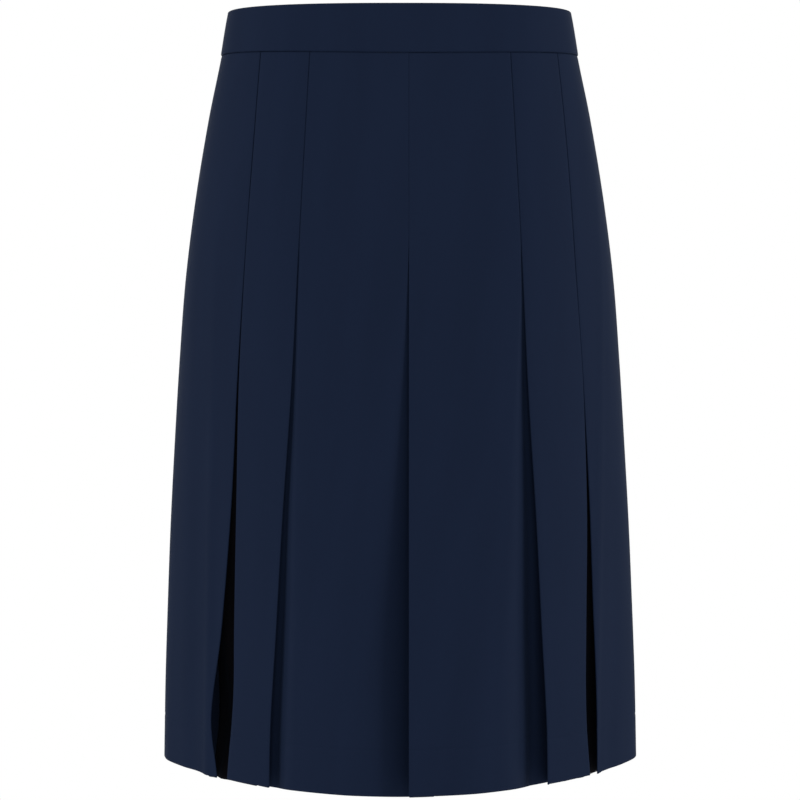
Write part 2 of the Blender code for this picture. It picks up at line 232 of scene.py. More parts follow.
def smooth(t):
    """A soft step from 0 to 1."""
    t = np.clip(t, 0, 1)
    return t * t * (3 - 2 * t)


def soft_folds(around, z):
    """How far the cloth has sunk from the plain outline."""
    sunk = np.zeros_like(around)
    for fold in SOFT_FOLDS:
        down = np.clip((fold.start_z - z) / (fold.start_z - fold.end_z), 0, 1)
        middle = fold.start_around + (fold.end_around - fold.start_around) * down
        sunk += fold.depth * smooth(down) * np.exp(-(((around - middle) / fold.width) ** 2))
    return sunk


def on_skirt(around, depth, z):
    """Points that lie `around` metres right of centre front and `depth` inside the outline, at height z."""
    around, depth, z = (np.asarray(value, float) for value in (around, depth, z))
    girth = np.interp(-z, -LEVELS, GIRTHS)
    place = (around + TURN + girth) % (2 * girth) - girth
    side = np.where(place < 0, -1.0, 1.0)
    row = np.clip((LEVELS[0] - z) / (LEVELS[0] - LEVELS[1]), 0, len(LEVELS) - 1.001)
    column = np.clip(np.abs(place) / girth, 0, 1) * (len(SHARES) - 1)

    def read(grid, at_column):
        low, left = row.astype(int), np.clip(at_column, 0, len(SHARES) - 1.001).astype(int)
        down, across = row - low, np.clip(at_column, 0, len(SHARES) - 1) - left
        upper = grid[low, left] * (1 - across) + grid[low, left + 1] * across
        lower = grid[low + 1, left] * (1 - across) + grid[low + 1, left + 1] * across
        return upper * (1 - down) + lower * down

    reach = 4.0
    along_x = read(FORM_X, column + reach) - read(FORM_X, column - reach)
    along_y = read(FORM_Y, column + reach) - read(FORM_Y, column - reach)
    length = np.hypot(along_x, along_y)
    sunk = depth + soft_folds(around, z)
    x = read(FORM_X, column) - along_y / length * sunk
    y = read(FORM_Y, column) + along_x / length * sunk
    return np.stack([side * x, y, z], axis=-1)


def seam_height(around, girth):
    """The waist seam lies level at the front and back, and rises towards the sides."""
    return SEAM_FRONT + SEAM_RISE_AT_SIDES * np.sin(math.pi * np.abs(around) / girth) ** 2


def crepe(name, colour, sheen):
    """Fine matt crepe: a close diagonal rib of crimped threads, with slight unevenness in dye and nap."""
    finish = bpy.data.materials.new(name)
    finish.use_nodes = True
    nodes, links = finish.node_tree.nodes, finish.node_tree.links
    shader = nodes["Principled BSDF"]
    shader.inputs["Sheen Weight"].default_value = sheen
    shader.inputs["Sheen Roughness"].default_value = 0.45
    shader.inputs["Sheen Tint"].default_value = (0.40, 0.60, 1.0, 1.0)
    shader.inputs["Specular IOR Level"].default_value = 0.03
    place = nodes.new("ShaderNodeUVMap")
    place.uv_map = "weave"
    twill = nodes.new("ShaderNodeTexWave")
    twill.wave_type = "BANDS"
    twill.bands_direction = "DIAGONAL"
    twill.inputs["Scale"].default_value = 420.0
    twill.inputs["Distortion"].default_value = 1.5
    twill.inputs["Detail"].default_value = 1.0
    twill.inputs["Detail Scale"].default_value = 2.0
    thread = nodes.new("ShaderNodeTexNoise")
    thread.inputs["Scale"].default_value = 1500.0
    thread.inputs["Detail"].default_value = 2.0
    hang = nodes.new("ShaderNodeMapping")
    hang.inputs["Scale"].default_value = (34.0, 5.0, 1.0)
    cloud = nodes.new("ShaderNodeTexNoise")
    cloud.inputs["Scale"].default_value = 1.0
    cloud.inputs["Detail"].default_value = 3.0
    for user in (twill, thread, hang):
        links.new(place.outputs["UV"], user.inputs["Vector"])
    links.new(hang.outputs["Vector"], cloud.inputs["Vector"])
    both = nodes.new("ShaderNodeMath")
    both.operation = "MULTIPLY_ADD"
    both.inputs[1].default_value = 0.6
    links.new(twill.outputs["Fac"], both.inputs[0])
    links.new(thread.outputs["Fac"], both.inputs[2])
    bump = nodes.new("ShaderNodeBump")
    bump.inputs["Strength"].default_value = 0.25
    bump.inputs["Distance"].default_value = 0.00012
    links.new(both.outputs["Value"], bump.inputs["Height"])
    links.new(bump.outputs["Normal"], shader.inputs["Normal"])
    dye = nodes.new("ShaderNodeValToRGB")
    dye.color_ramp.elements[0].position = 0.35
    dye.color_ramp.elements[1].position = 0.65
    dye.color_ramp.elements[0].color = (*(0.97 * value for value in colour), 1.0)
    dye.color_ramp.elements[1].color = (*(1.03 * value for value in colour), 1.0)
    links.new(cloud.outputs["Fac"], dye.inputs["Fac"])
    links.new(dye.outputs["Color"], shader.inputs["Base Color"])
    nap = nodes.new("ShaderNodeMapRange")
    nap.inputs["To Min"].default_value = 0.62
    nap.inputs["To Max"].default_value = 0.78
    links.new(thread.outputs["Fac"], nap.inputs["Value"])
    links.new(nap.outputs["Result"], shader.inputs["Roughness"])
    return finish


def cloth_grid(around, depth, z, run_along):
    """A bmesh grid through rows of points, with a UV map in metres along the cloth. Row 0 is the highest."""
    rows, columns = around.shape
    points = on_skirt(around, depth, z)
    mesh = bmesh.new()
    bmesh.ops.create_grid(mesh, x_segments=columns - 1, y_segments=rows - 1, size=0.5)
    places = {}
    for vert in mesh.verts:
        column = round((vert.co.x + 0.5) * (columns - 1))
        row = round((0.5 - vert.co.y) * (rows - 1))
        places[vert] = (row, column)
        vert.co = points[row, column]
    weave = mesh.loops.layers.uv.new("weave")
    for face in mesh.faces:
        face.smooth = True
        for corner in face.loops:
            row, column = places[corner.vert]
            corner[weave].uv = (run_along[row, column], z[row, column])
    return mesh, places


def finished(name, mesh, finish, body="skirt"):
    """The mesh as a named piece in its material, which rides on one body of the frame."""
    data = bpy.data.meshes.new(name)
    mesh.to_mesh(data)
    mesh.free()
    data.materials.append(finish)
    piece = bpy.data.objects.new(name, data)
    scene.collection.objects.link(piece)
    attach(piece, body)
    return piece


cloth = crepe("navy_crepe", NAVY, 0.02)
radius = (BAND_PROUD + BAND_INSIDE) / 2
# the band's section, as shares of its height and depths: up its face, round its top and down its inside
profile = [(0.0, BAND_TUCK - BAND_PROUD), (0.015, 0.35 * BAND_TUCK - BAND_PROUD), (0.035, -BAND_PROUD)]
for level in np.linspace(0.08, 0.94, 14):
    profile.append((level, -BAND_PROUD - BAND_CROWN * math.sin(math.pi * level)))
for step in range(BAND_ROUND_STEPS + 1):
    angle = math.pi * step / BAND_ROUND_STEPS
    level = 1 - (radius / BAND_HEIGHT) * (1 - math.sin(angle))
    profile.append((level, BAND_INSIDE - radius - radius * math.cos(angle)))
profile += [(level, BAND_INSIDE) for level in np.linspace(0.94, 0.0, 10)]
share = np.linspace(-1, 1, BAND_COLUMNS + 1)
levels = np.array([level for level, _ in profile])[:, None]
below = seam_height(share * half_girth(BAND_TOP), half_girth(BAND_TOP)) + SEAM_GAP / 2
band_z = below + (BAND_TOP - below) * levels
band_girth = np.interp(-band_z, -LEVELS, GIRTHS)
band_around = share * (band_girth - ZIP_SLOT)
band_depth = np.broadcast_to(np.array([depth for _, depth in profile])[:, None], band_z.shape)
# the grid's first row is its lowest, so it is turned to keep the cloth's face outwards
mesh, places = cloth_grid(band_around[::-1], band_depth[::-1], band_z[::-1], band_around[::-1])
ends = {place: vert for vert, place in places.items()}
last_row = len(profile) - 1
for column in range(BAND_COLUMNS):
    corners = (last_row, column), (0, column), (0, column + 1), (last_row, column + 1)
    mesh.faces.new([ends[corner] for corner in corners])
bmesh.ops.holes_fill(mesh, edges=mesh.edges)
bmesh.ops.recalc_face_normals(mesh, faces=mesh.faces)
waistband = finished("band_cloth", mesh, cloth)
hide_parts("waistband")


# The front centre panel: one piece of crepe, with a knife pleat pressed in at centre front.
# Its right half laps over its left, and both side edges run on under the box panels beside it.
CLOTH_WALL = 0.0005
HEM_WALL = 0.0010
HEM_DEPTH = 0.038
HEM_FADE = 0.08
HEM_ROLL = 0.0002
HEM_ROLL_HEIGHT = 0.0005
STITCH_DENT = 0.00025
STITCH_WIDTH = 0.0012
STITCH_PITCH = 0.0006
FACE = 0.0
RETURN = 0.0012
UNDER = 0.0015
TUCK = 0.0004
TUCK_HEIGHT = 0.0015
SEAM_ALLOWANCE = 0.0030
FACE_SHORT = 0.0001
STITCHED_TO = -0.195
CENTRE_FOLD = -0.0018
KNIFE_DEPTH = 0.024
BOX_DEPTH = 0.018
SIDE_DEPTH = 0.030
UNDERLAY_MARGIN = 0.006
FALL_PER_GAPE = 1.0
HEM_DROP_PER_DEPTH = 0.23
TROUGH_DROP_PER_DEPTH = 0.34
PRESSED = 0.9
ROW_PITCH = 0.005

# The pleats, a row for each height: distances from centre front to the box panels' inner and outer edges,
# the opening beside each outer edge, and how far the cloth dips where it goes under another panel
Pleats = namedtuple(
    "Pleats", "z inner outer_left outer_right gape_left gape_right dip_centre dip_left dip_right"
)
PLEATS = (
    Pleats(-0.02, 0.0845, 0.1298, 0.1330, 0.0005, 0.0005, 0.0, 0.0, 0.0),
    Pleats(-0.10, 0.0892, 0.1362, 0.1407, 0.0005, 0.0005, 0.0, 0.0, 0.0),
    Pleats(-0.20, 0.0950, 0.1449, 0.1493, 0.0005, 0.0005, 0.0004, 0.0003, 0.0004),
    Pleats(-0.30, 0.1011, 0.1526, 0.1604, 0.0020, 0.0005, 0.0045, 0.0025, 0.0052),
    Pleats(-0.40, 0.1095, 0.1570, 0.1672, 0.0060, 0.0040, 0.0110, 0.0050, 0.0110),
    Pleats(-0.50, 0.1170, 0.1612, 0.1686, 0.0150, 0.0095, 0.0180, 0.0080, 0.0168),
    Pleats(-0.58, 0.1235, 0.1640, 0.1702, 0.0268, 0.0134, 0.0190, 0.0100, 0.0205),
    Pleats(-0.63, 0.1254, 0.1708, 0.1750, 0.0150, 0.0118, 0.0190, 0.0100, 0.0212),
)
# The slope down to a hidden edge: its width where the pleats are stitched, and how it widens with the dip
CENTRE_SLOPE = (0.0003, 2.2)
INNER_SLOPE = (0.0015, 2.2)
SLOPE_BEND = 0.45
# Above the end of its stitching a pleat is held shut, so its edges lie this much closer together
SHUT = 0.0012
SHUT_FADE = 0.02
INNER_SHUT_SHARE = 0.6
# Towards the hem the box panels' outer edges are no longer pressed flat, but roll back into the opening
ROLL_START = -0.53
ROLL_PER_GAPE = 0.38


def heights_of_rows():
    """Rows every few millimetres, closer together at the waist seam, the hem's stitches and its edge."""
    count = round((SEAM_FRONT - HEM) / ROW_PITCH)
    even = [SEAM_FRONT + (HEM - SEAM_FRONT) * step / count for step in range(1, count)]
    near_stitches = [HEM + HEM_DEPTH + step * STITCH_PITCH for step in (-3, -2, -1, 0, 1, 2, 3)]
    clear = [height for height in even if abs(height - HEM - HEM_DEPTH) > ROW_PITCH / 2]
    rows = [SEAM_FRONT, SEAM_FRONT - 0.001, SEAM_FRONT - 0.0025] + clear + near_stitches
    return sorted(rows + [HEM + 0.0015, HEM + 0.0004, HEM], reverse=True)


def run(start, end, steps):
    """Points of a straight stretch, without its last one."""
    return [tuple(a + (b - a) * step / steps for a, b in zip(start, end)) for step in range(steps)]


def slope(start, end, steps):
    """Points of a soft slope between two depths, without its last one."""
    points = []
    for step in range(steps):
        t = step / steps
        eased = t * t / (2 * SLOPE_BEND) if t < SLOPE_BEND else t - SLOPE_BEND / 2
        eased /= 1 - SLOPE_BEND / 2
        points.append((start[0] + (end[0] - start[0]) * t, start[1] + (end[1] - start[1]) * eased))
    return points


def held_shut(z):
    """How much closer to the face a pleat's underside lies at height z, where it is stitched."""
    return SHUT * float(smooth((z - STITCHED_TO) / SHUT_FADE))


def fold(edge, first, second, outward, steps=6):
    """Points of a folded edge, from the layer at depth `first` to the one at depth `second`."""
    radius = abs(second - first) / 2
    turn = math.copysign(1.0, second - first)
    points = []
    for step in range(steps + 1):
        angle = math.pi * step / steps
        depth = (first + second) / 2 - turn * radius * math.cos(angle)
        points.append((edge - outward * PRESSED * radius * (1 - math.sin(angle)), depth))
    return points


def inner_edge(inner, dip, z):
    """From a centre panel's face down under the box panel beside it, to the hidden seam there."""
    width = INNER_SLOPE[0] + INNER_SLOPE[1] * dip
    valley = (inner, UNDER + dip - INNER_SHUT_SHARE * held_shut(z))
    points = slope((inner - width, FACE), valley, 8)
    points += run(valley, (inner + KNIFE_DEPTH, UNDER + dip), 6)
    points.append((inner + KNIFE_DEPTH, UNDER + dip))
    return points


def front_centre_path(z):
    """From the left hidden seam across the front, down under the knife pleat and back, to the right one."""
    pleats = row_at(PLEATS, z)
    left = inner_edge(pleats.inner, pleats.dip_left, z)
    points = [(-distance, depth) for distance, depth in reversed(left)]
    width = CENTRE_SLOPE[0] + CENTRE_SLOPE[1] * pleats.dip_centre
    valley = (CENTRE_FOLD, UNDER + pleats.dip_centre - held_shut(z))
    hidden = CENTRE_FOLD + KNIFE_DEPTH
    turn_in = (UNDER - RETURN) / 2
    turn_out = (RETURN - FACE) / 2
    points += run(points.pop(), (CENTRE_FOLD - width, FACE), 24)
    points += slope((CENTRE_FOLD - width, FACE), valley, 10)
    points += run(valley, (hidden - turn_in, UNDER + pleats.dip_centre), 6)
    points += fold(hidden, UNDER + pleats.dip_centre, RETURN + pleats.dip_centre, 1)[:-1]
    points += run((hidden - turn_in, RETURN + pleats.dip_centre), (CENTRE_FOLD + turn_out, RETURN), 6)
    points += fold(CENTRE_FOLD, RETURN, FACE, -1)[:-1]
    right = inner_edge(pleats.inner, pleats.dip_right, z)
    points += run((CENTRE_FOLD + turn_out, FACE), right[0], 24)
    return points + right


def cloth_piece(
    name,
    node,
    path_at,
    side=1,
    from_back=False,
    drop=HEM_DROP_PER_DEPTH,
    finish=cloth,
):
    """A panel of crepe through its path at every height, hemmed below and tucked into the waist seam."""
    heights = heights_of_rows()
    across = -side if from_back else side
    around, depth, z = [], [], []
    for height in heights:
        girth = half_girth(height)
        path = path_at(height)
        if across < 0:
            path = path[::-1]
        distance = np.array([point[0] for point in path])
        deep = np.array([point[1] for point in path])
        place = side * (girth - distance if from_back else distance)
        below_seam = SEAM_FRONT - height
        rise = (seam_height(place, girth) - SEAM_FRONT) * max(0.0, 1 - below_seam / SEAM_FADE)
        sag = drop * deep * float(smooth((HEM + HEM_FADE - height) / HEM_FADE))
        tucked = TUCK * max(0.0, 1 - below_seam / TUCK_HEIGHT)
        rolled = HEM_ROLL * max(0.0, 1 - (height - HEM) / HEM_ROLL_HEIGHT)
        stitched = STITCH_DENT * math.exp(-(((height - HEM - HEM_DEPTH) / STITCH_WIDTH) ** 2))
        # the hidden layers run on up behind the band, and the face stops just short of it
        behind_band = np.where(deep > UNDER - FACE_SHORT, SEAM_ALLOWANCE, -FACE_SHORT)
        around.append(place)
        depth.append(deep + tucked + rolled + stitched)
        z.append(height + rise - sag + (behind_band if height == SEAM_FRONT else 0.0))
    around, depth, z = (np.array(rows) for rows in (around, depth, z))
    steps = np.hypot(np.diff(around, axis=1), np.diff(depth, axis=1))
    along = np.concatenate([np.zeros((len(heights), 1)), np.cumsum(steps, axis=1)], axis=1)
    mesh, places = cloth_grid(around, depth, z, along)
    rows = {}
    for vert, (row, _) in places.items():
        rows.setdefault(row, []).append(vert.index)
    piece = finished(name, mesh, finish)
    hem = piece.vertex_groups.new(name="hem")
    for row, height in enumerate(heights):
        if height < HEM + HEM_DEPTH:
            hem.add(rows[row], 1.0, "REPLACE")
    wall = piece.modifiers.new("Cloth thickness", "SOLIDIFY")
    wall.thickness = HEM_WALL
    wall.offset = -1.0
    wall.vertex_group = "hem"
    wall.thickness_vertex_group = CLOTH_WALL / HEM_WALL
    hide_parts(node)


cloth_piece("front_centre_cloth", "front_centre", front_centre_path)


def outer_edges(z, side, from_back):
    """A box panel's outer edge and the opening beside it. The back mirrors the other side of the front."""
    pleats = row_at(PLEATS, z)
    if side * (-1 if from_back else 1) < 0:
        return pleats.outer_left, pleats.gape_left
    return pleats.outer_right, pleats.gape_right


def inner_dip(z, side, from_back):
    """How far the centre panel dips where it goes under a box panel."""
    pleats = row_at(PLEATS, z)
    return pleats.dip_left if side * (-1 if from_back else 1) < 0 else pleats.dip_right


def box_path(z, side, from_back):
    """From the hidden seam out to the inner edge, across the face, and under at the outer edge."""
    outer, gape = outer_edges(z, side, from_back)
    inner = row_at(PLEATS, z).inner
    dip = inner_dip(z, side, from_back)
    turn = (RETURN - FACE) / 2
    fall = FALL_PER_GAPE * gape
    roll = ROLL_PER_GAPE * gape * float(smooth((ROLL_START - z) / (ROLL_START - HEM)))
    rolled = outer + PRESSED * roll
    back = rolled - PRESSED * (turn + roll)
    under = RETURN + 2 * roll
    points = run((inner + KNIFE_DEPTH, RETURN + dip), (inner + turn, RETURN), 6)
    points += fold(inner, RETURN, FACE, -1)[:-1]
    points += run((inner + turn, FACE), (back, FACE), 16)
    points += fold(rolled, FACE, under, 1, 10)[:-1]
    points += run((back, under), (outer - BOX_DEPTH, RETURN + fall), 5)
    points.append((outer - BOX_DEPTH, RETURN + fall))
    return points


for side, hand in ((-1, "left"), (1, "right")):
    for from_back, face in ((False, "front"), (True, "back")):
        cloth_piece(
            f"{face}_box_cloth_{hand}",
            f"{face}_box_{hand}",
            lambda z: box_path(z, side, from_back),
            side,
            from_back,
        )


def side_path(z, side):
    """From one hidden seam out to the front edge, round the side, and under at the back edge."""
    girth = half_girth(z)
    front, front_gape = outer_edges(z, side, False)
    back, back_gape = outer_edges(z, side, True)
    start, end = front + front_gape, girth - back - back_gape
    turn = (RETURN - FACE) / 2
    hidden = (start + SIDE_DEPTH, RETURN + FALL_PER_GAPE * front_gape)
    points = [hidden] + slope((start + turn, RETURN), hidden, 7)[:0:-1] + [(start + turn, RETURN)]
    points += fold(start, RETURN, FACE, -1)[:-1]
    points += run((start + turn, FACE), (end - turn, FACE), 70)
    points += fold(end, FACE, RETURN, 1)[:-1]
    hidden = (end - SIDE_DEPTH, RETURN + FALL_PER_GAPE * back_gape)
    points += slope((end - turn, RETURN), hidden, 7)
    points.append(hidden)
    return points


for side, hand in ((-1, "left"), (1, "right")):
    cloth_piece(
        f"side_cloth_{hand}",
        f"side_{hand}",
        lambda z: side_path(z, side),
        side,
        drop=TROUGH_DROP_PER_DEPTH,
    )


# The pleat underlays: strips sewn behind the four outer pleats, seen only where those stand open.
# Their near black crepe is painted shade: the colour stands in for the deep shade inside an open pleat, so
# an open pleat shows as a dark gap.
# painted shade: a near black colour in place of the shade that falls deep inside the pleats
PAINTED_SHADE_BLACK = (0.0060, 0.0056, 0.0076)

painted_shade_cloth = crepe("crepe_painted_shade", PAINTED_SHADE_BLACK, 0.02)


def underlay_path(z, side, from_back):
    """From its seam to the box panel's return, flat across the opening, to under the side panel."""
    outer, gape = outer_edges(z, side, from_back)
    depth = UNDER + FALL_PER_GAPE * gape
    ends = (outer - BOX_DEPTH, depth), (outer + gape + SIDE_DEPTH + UNDERLAY_MARGIN, depth)
    seam = (outer - BOX_DEPTH, RETURN + FALL_PER_GAPE * gape - CLOTH_WALL)
    return [seam] + run(*ends, 18)[1:] + [ends[1]]


for side, hand in ((-1, "left"), (1, "right")):
    for from_back, face in ((False, "front"), (True, "back")):
        cloth_piece(
            f"{face}_underlay_cloth_{hand}",
            f"{face}_underlay_{hand}",
            lambda z: underlay_path(z, side, from_back),
            side,
            from_back,
            TROUGH_DROP_PER_DEPTH,
            painted_shade_cloth,
        )


# The back centre panels: two pieces of crepe that meet at the centre back seam.
# A concealed zip closes the seam's upper part, and the edges of both panels turn in along it.
BACK_SEAM = ((-0.00005, 0.0008), (0.0001, 0.0003), (0.0004, 0.0001), (0.0012, 0.0))


def back_centre_path(z, side):
    """From the centre back seam, where the edge turns in, to the hidden seam under the box panel."""
    pleats = row_at(PLEATS, z)
    edge = inner_edge(pleats.inner, inner_dip(z, side, True), z)
    return list(BACK_SEAM[:-1]) + run(BACK_SEAM[-1], edge[0], 26) + edge


for side, hand in ((-1, "left"), (1, "right")):
    cloth_piece(
        f"back_centre_cloth_{hand}",
        f"back_centre_{hand}",
        lambda z: back_centre_path(z, side),
        side,
        True,
    )


# The zip tapes: two woven navy strips, sewn behind the edges of the centre back seam and inside the band.
# Each has a firm beaded edge, and the slot between them lets the slider's neck through.
ZIP_TOP = 0.0165
ZIP_END = -0.185
TAPE_WIDTH = 0.011
TAPE_WALL = 0.0006
TAPE_BEAD = 0.00015
TAPE_BEAD_AT = 0.93
TAPE_BEAD_WIDTH = 0.05
TAPE_COLUMNS = 14
TAPE_ROWS = 90
TAPE_COLOUR = (0.0075, 0.0140, 0.0330)
CLOTH_BACK = 0.0010
TAPE_FACE = CLOTH_BACK + SEAM_GAP


def woven_tape():
    """Close herringbone tape: two sets of slanted ribs that meet along its length."""
    finish = bpy.data.materials.new("zip_tape_weave")
    finish.use_nodes = True
    nodes, links = finish.node_tree.nodes, finish.node_tree.links
    shader = nodes["Principled BSDF"]
    shader.inputs["Base Color"].default_value = (*TAPE_COLOUR, 1.0)
    shader.inputs["Roughness"].default_value = 0.7
    shader.inputs["Specular IOR Level"].default_value = 0.15
    place = nodes.new("ShaderNodeUVMap")
    place.uv_map = "weave"
    ribs = nodes.new("ShaderNodeTexWave")
    ribs.wave_type = "BANDS"
    ribs.bands_direction = "DIAGONAL"
    ribs.inputs["Scale"].default_value = 500.0
    mirrored = nodes.new("ShaderNodeVectorMath")
    mirrored.operation = "ABSOLUTE"
    bump = nodes.new("ShaderNodeBump")
    bump.inputs["Strength"].default_value = 0.5
    bump.inputs["Distance"].default_value = 0.0001
    links.new(place.outputs["UV"], mirrored.inputs[0])
    links.new(mirrored.outputs["Vector"], ribs.inputs["Vector"])
    links.new(ribs.outputs["Fac"], bump.inputs["Height"])
    links.new(bump.outputs["Normal"], shader.inputs["Normal"])
    return finish


tape_finish = woven_tape()
for side, hand in ((-1, "left"), (1, "right")):
    tape_z = np.linspace(ZIP_TOP, ZIP_END, TAPE_ROWS)[:, None] * np.ones(TAPE_COLUMNS)
    across = np.linspace(0, 1, TAPE_COLUMNS)[::side] * np.ones(tape_z.shape)
    tape_around = np.interp(-tape_z, -LEVELS, GIRTHS) - side * (ZIP_SLOT + TAPE_WIDTH * across)
    bead = TAPE_BEAD * np.exp(-(((across - TAPE_BEAD_AT) / TAPE_BEAD_WIDTH) ** 2))
    tape_depth = TAPE_FACE - bead
    run_along = TAPE_WIDTH * (across - 0.5)
    mesh, _ = cloth_grid(tape_around[:, ::-1], tape_depth[:, ::-1], tape_z, run_along)
    tape = finished(f"zip_tape_cloth_{hand}", mesh, tape_finish)
    wall = tape.modifiers.new("Tape thickness", "SOLIDIFY")
    wall.thickness = TAPE_WALL
    wall.offset = -1.0
    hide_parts(f"zip_tape_{hand}")


# The zip coil: two spirals of nylon thread, one sewn to each tape, whose loops close into each other.
# They run from just under the slider to the zip's lower end.
COIL_PITCH = 0.0012
COIL_WIRE = 0.00024
COIL_REACH = 0.00100
COIL_OFFSET = 0.00094
COIL_RISE = 0.00046
COIL_STEPS = 10
COIL_SIDES = 6
COIL_WALL = 0.0014
COIL_JOIN = 0.000002
COIL_COLOUR = (0.010, 0.016, 0.036)
PULL_AXIS_Z = 0.010
SLIDER_HEIGHT = 0.010
coil_middle = TAPE_FACE + TAPE_WALL + SEAM_GAP + COIL_WALL / 2
coil_top = PULL_AXIS_Z - SLIDER_HEIGHT / 2 - SEAM_GAP - COIL_WIRE
turns = round((coil_top - ZIP_END - COIL_PITCH) / COIL_PITCH)

nylon = bpy.data.materials.new("zip_nylon")
nylon.use_nodes = True
nylon_shader = nylon.node_tree.nodes["Principled BSDF"]
nylon_shader.inputs["Base Color"].default_value = (*COIL_COLOUR, 1.0)
streak = nylon.node_tree.nodes.new("ShaderNodeTexNoise")
streak.inputs["Scale"].default_value = 900.0
gloss = nylon.node_tree.nodes.new("ShaderNodeMapRange")
gloss.inputs["To Min"].default_value = 0.32
gloss.inputs["To Max"].default_value = 0.46
object_place = nylon.node_tree.nodes.new("ShaderNodeTexCoord")
nylon.node_tree.links.new(object_place.outputs["Object"], streak.inputs["Vector"])
nylon.node_tree.links.new(streak.outputs["Fac"], gloss.inputs["Value"])
nylon.node_tree.links.new(gloss.outputs["Result"], nylon_shader.inputs["Roughness"])

for side, hand in ((-1, "left"), (1, "right")):
    turn = np.linspace(0, 2 * math.pi * turns, turns * COIL_STEPS + 1)
    middle_line = np.stack(
        [
            side * (COIL_OFFSET - COIL_REACH * np.cos(turn)),
            coil_middle + COIL_RISE * np.sin(turn),
            coil_top - COIL_PITCH * (turn / (2 * math.pi) + 0.25 * (1 - side)),
        ],
        axis=-1,
    )
    ahead = np.gradient(middle_line, axis=0)
    ahead /= np.linalg.norm(ahead, axis=1, keepdims=True)
    first = np.cross(ahead, (0.0, 0.0, 1.0))
    first /= np.linalg.norm(first, axis=1, keepdims=True)
    second = np.cross(ahead, first)
    ring = np.linspace(0, 2 * math.pi, COIL_SIDES + 1)[None, :, None]
    from_middle = np.cos(ring) * first[:, None] + np.sin(ring) * second[:, None]
    tube = middle_line[:, None] + COIL_WIRE * from_middle
    tube_around = np.interp(-tube[..., 2], -LEVELS, GIRTHS) - tube[..., 0]
    mesh, _ = cloth_grid(tube_around, tube[..., 1], tube[..., 2], tube[..., 2])
    bmesh.ops.remove_doubles(mesh, verts=mesh.verts, dist=COIL_JOIN)
    bmesh.ops.holes_fill(mesh, edges=mesh.edges)
    bmesh.ops.recalc_face_normals(mesh, faces=mesh.faces)
    coil = finished(f"zip_coil_{hand}", mesh, nylon)
    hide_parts("zip_coil")


# The zip slider: die-cast zinc under navy lacquer, two plates joined by a wedge, at the top of the zip.
# A thin neck runs out through the slot to an eye, which carries the pull.
PULL_AXIS_OUT = 0.0045
SLIDER_INSIDE = 0.0026
SLIDER_WALL = 0.0028
SLIDER_PLATE = 0.0007
# Half outlines of the plates and of the wedge between them: heights from the top down, and half widths
SLIDER_HALF_WIDTHS = (
    (0.0050, 0.0028),
    (0.0040, 0.0038),
    (0.0006, 0.0040),
    (-0.0040, 0.0030),
    (-0.0050, 0.0024),
)
WEDGE = ((0.0046, 0.0016), (0.0016, 0.0010), (-0.0004, 0.0002))
FLANGE_WIDTH = 0.0006
FLANGE_WALL = 0.0007
FLANGE_INSET = 0.00005
NECK_WALL = 0.0008
NECK_HEIGHT = 0.0020
EYE_RADIUS = 0.0017
EYE_HOLE = 0.0009
METAL_EDGE = 0.00014
FINE_EDGE = 0.0001
SHARP_ANGLE = math.radians(50)
LACQUER = (0.0085, 0.0150, 0.0360)
hinge = next(joint for joint in frame["joints"] if joint["name"] == "pull_tab_hinge")
axis = Vector(hinge["pos_m"])


def lacquered_metal():
    """Semi-gloss navy lacquer, with faint unevenness in its gloss."""
    finish = bpy.data.materials.new("navy_lacquer")
    finish.use_nodes = True
    nodes, links = finish.node_tree.nodes, finish.node_tree.links
    shader = nodes["Principled BSDF"]
    shader.inputs["Base Color"].default_value = (*LACQUER, 1.0)
    shader.inputs["Coat Weight"].default_value = 0.4
    shader.inputs["Coat Roughness"].default_value = 0.2
    place = nodes.new("ShaderNodeTexCoord")
    mottle = nodes.new("ShaderNodeTexNoise")
    mottle.inputs["Scale"].default_value = 600.0
    gloss = nodes.new("ShaderNodeMapRange")
    gloss.inputs["To Min"].default_value = 0.26
    gloss.inputs["To Max"].default_value = 0.38
    links.new(place.outputs["Object"], mottle.inputs["Vector"])
    links.new(mottle.outputs["Fac"], gloss.inputs["Value"])
    links.new(gloss.outputs["Result"], shader.inputs["Roughness"])
    return finish


def add_plate(mesh, outline, start, wall, normal, edge=METAL_EDGE):
    """A flat plate: its outline's points, pushed by `wall` along `normal`, with softly rounded edges."""
    verts = [mesh.verts.new(Vector(point) + start) for point in outline]
    face = mesh.faces.new(verts)
    grown = bmesh.ops.extrude_face_region(mesh, geom=[face])
    moved = [item for item in grown["geom"] if isinstance(item, bmesh.types.BMVert)]
    bmesh.ops.translate(mesh, verts=moved, vec=Vector(normal) * wall)
    edges = {line for vert in verts + moved for line in vert.link_edges}
    sides = {face for line in edges for face in line.link_faces}
    bmesh.ops.recalc_face_normals(mesh, faces=list(sides))
    sharp = [line for line in edges if line.calc_face_angle(0.0) > SHARP_ANGLE]
    bmesh.ops.bevel(
        mesh,
        geom=sharp,
        offset=edge,
        offset_type="OFFSET",
        affect="EDGES",
        segments=2,
        profile=0.5,
        material=-1,
    )


def both_halves(half_widths):
    """A closed outline in x and z from half of it, given as heights and half widths from the top down."""
    right = [(width, 0.0, height) for height, width in half_widths]
    return right + [(-x, 0.0, height) for x, _, height in reversed(right)]


def ring_points(radius, segments):
    """A circle round the X axis."""
    angles = [2 * math.pi * step / segments for step in range(segments)]
    return [(0.0, radius * math.cos(angle), radius * math.sin(angle)) for angle in angles]


